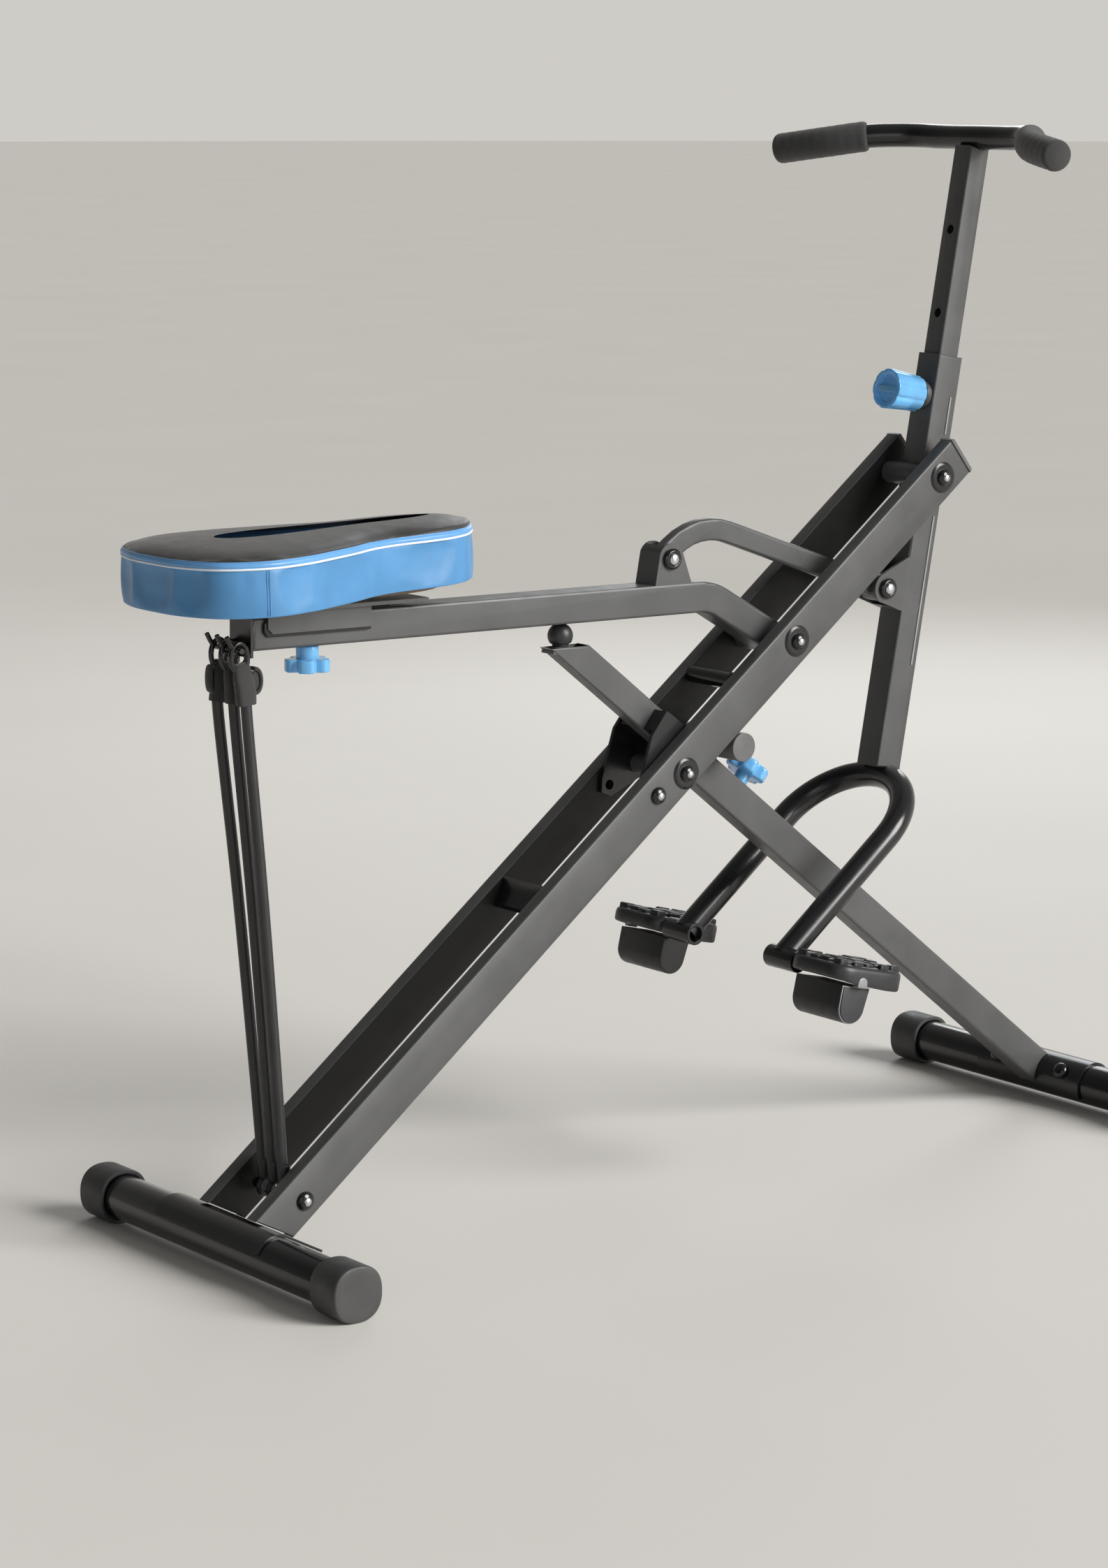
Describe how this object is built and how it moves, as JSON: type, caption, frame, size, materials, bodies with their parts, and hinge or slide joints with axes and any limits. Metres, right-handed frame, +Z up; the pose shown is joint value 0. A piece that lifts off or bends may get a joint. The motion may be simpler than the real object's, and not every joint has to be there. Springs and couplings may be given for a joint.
{
  "type": "squat and row exercise machine",
  "caption": "Folding squat and row trainer: sprung seat arm, pull lever with foot pedals, resistance bands and two floor tubes on sloping rails.",
  "frame": {"origin": "middle of the bounding box, on the floor under the machine", "axes": "+X from the seat end towards the rear foot, +Y to the left of a seated rider, +Z up"},
  "size_m": [1.3072, 0.5, 1.1898],
  "materials": {
    "grey_steel": "dark grey satin powder coat",
    "black_steel": "black satin powder coat",
    "gloss_steel": "black gloss",
    "black_plastic": "moulded, fine texture",
    "grey_plastic": "moulded, same grey as the frame",
    "black_rubber": "matt",
    "blue_plastic": "light blue, smooth",
    "vinyl": "vinyl-coated cloth over foam: black grained top, blue side band",
    "foam": "soft foam sleeve",
    "board": "dark stained plywood"
  },
  "bodies": {
    "main_frame": {"front_foot_tube": "gloss_steel", "front_foot_cap_left": "black_plastic", "front_foot_cap_right": "black_plastic", "front_saddle": "black_steel", "rail_left": "grey_steel", "rail_right": "grey_steel", "rail_plug_left": "grey_plastic", "rail_plug_right": "grey_plastic", "rail_cross_tube": "black_steel", "fold_catch": "black_steel", "band_anchor_bolt": "gloss_steel", "band_anchor_nut": "black_steel", "stop_bracket_bolt": "gloss_steel", "stop_bracket_nut": "black_steel", "leg_pivot_bolt": "gloss_steel", "leg_pivot_nut": "black_steel", "arm_pivot_bolt": "gloss_steel", "arm_pivot_nut": "black_steel", "lever_pivot_bolt": "gloss_steel", "lever_pivot_nut": "black_steel", "stop_post": "grey_steel", "stop_bracket_left": "black_steel", "stop_bracket_right": "black_steel", "stop_ball": "black_rubber", "band_right": "black_rubber", "band_middle": "black_rubber", "band_left": "black_rubber"},
    "rear_leg": {"rear_leg_tube": "grey_steel", "rear_saddle": "black_steel", "leg_stop_bar": "grey_steel", "rear_foot_bolt_left": "gloss_steel", "rear_foot_bolt_right": "gloss_steel", "rear_foot_tube": "gloss_steel", "rear_foot_cap_left": "black_plastic", "rear_foot_cap_right": "black_plastic"},
    "leg_knob": {"leg_lock_knob": "blue_plastic"},
    "seat_arm": {"seat_arm_tube": "grey_steel", "arm_end_plate": "black_steel", "link_pin_front": "black_steel", "band_hook_right": "black_steel", "band_hook_middle": "black_steel", "band_hook_left": "black_steel"},
    "seat": {"seat_cushion": "vinyl", "seat_board": "board", "seat_bracket": "grey_steel"},
    "seat_clamp": {"seat_knob": "blue_plastic"},
    "link": {"link_bar": "grey_steel"},
    "lever": {"lever_post": "grey_steel", "link_pin_rear": "black_steel", "pedal_yoke": "black_steel", "post_knob_collar": "black_plastic"},
    "height_knob": {"post_knob": "blue_plastic"},
    "handle": {"handle_post": "grey_steel", "handlebar": "black_steel", "handle_grip_left": "foam", "handle_grip_right": "foam"},
    "pedal_left": {"pedal_tread_left": "black_rubber", "pedal_housing_left": "black_plastic"},
    "pedal_right": {"pedal_tread_right": "black_rubber", "pedal_housing_right": "black_plastic"}
  },
  "joints": [
    {"name": "lever_pivot", "type": "hinge", "parent": "main_frame", "child": "lever", "pos_m": [0.3857, 0, 0.7852], "axis": [0, 1, 0], "range_deg": [-22, 0]},
    {"name": "seat_arm_pivot", "type": "hinge", "parent": "main_frame", "child": "seat_arm", "pos_m": [0.1662, 0, 0.6129], "axis": [0, 1, 0], "range_deg": [0, 32.2], "deforming": ["band_right", "band_middle", "band_left"]},
    {"name": "link_pivot", "type": "hinge", "parent": "seat_arm", "child": "link", "pos_m": [0.0136, 0, 0.714], "axis": [0, 1, 0], "range_deg": [-17.4, 0]},
    {"name": "rear_leg_fold", "type": "hinge", "parent": "main_frame", "child": "rear_leg", "pos_m": [0.0052, 0, 0.4776], "axis": [0, 1, 0], "range_deg": [0, 95]},
    {"name": "leg_knob_turn", "type": "hinge", "parent": "rear_leg", "child": "leg_knob", "pos_m": [0.1282, 0, 0.44589], "axis": [0.6225, 0, 0.7826], "continuous": true},
    {"name": "seat_slide", "type": "slide", "parent": "seat_arm", "child": "seat", "axis": [0.9999, 0, -0.014], "range_m": [0, 0.1]},
    {"name": "seat_knob_turn", "type": "hinge", "parent": "seat", "child": "seat_clamp", "pos_m": [-0.4634, 0, 0.65], "axis": [0, 0, 1], "continuous": true},
    {"name": "height_knob_pull", "type": "slide", "parent": "lever", "child": "height_knob", "axis": [-0.9833, 0, 0.1822], "range_m": [0, 0.008], "stiffness_N_per_m": 600, "springref_m": -0.002},
    {"name": "handle_height", "type": "slide", "parent": "lever", "child": "handle", "axis": [0.1822, 0, 0.9833], "range_m": [-0.195, 0]},
    {"name": "pedal_left_turn", "type": "hinge", "parent": "lever", "child": "pedal_left", "pos_m": [0.1226, 0.16, 0.257], "axis": [0, 1, 0], "continuous": true},
    {"name": "pedal_right_turn", "type": "hinge", "parent": "lever", "child": "pedal_right", "pos_m": [0.1226, -0.16, 0.257], "axis": [0, 1, 0], "continuous": true}
  ],
  "couplings": [
    {"joint": "seat_arm_pivot", "follows": "lever_pivot", "ratio": -1.46},
    {"joint": "link_pivot", "follows": "lever_pivot", "ratio": 0.79}
  ]
}
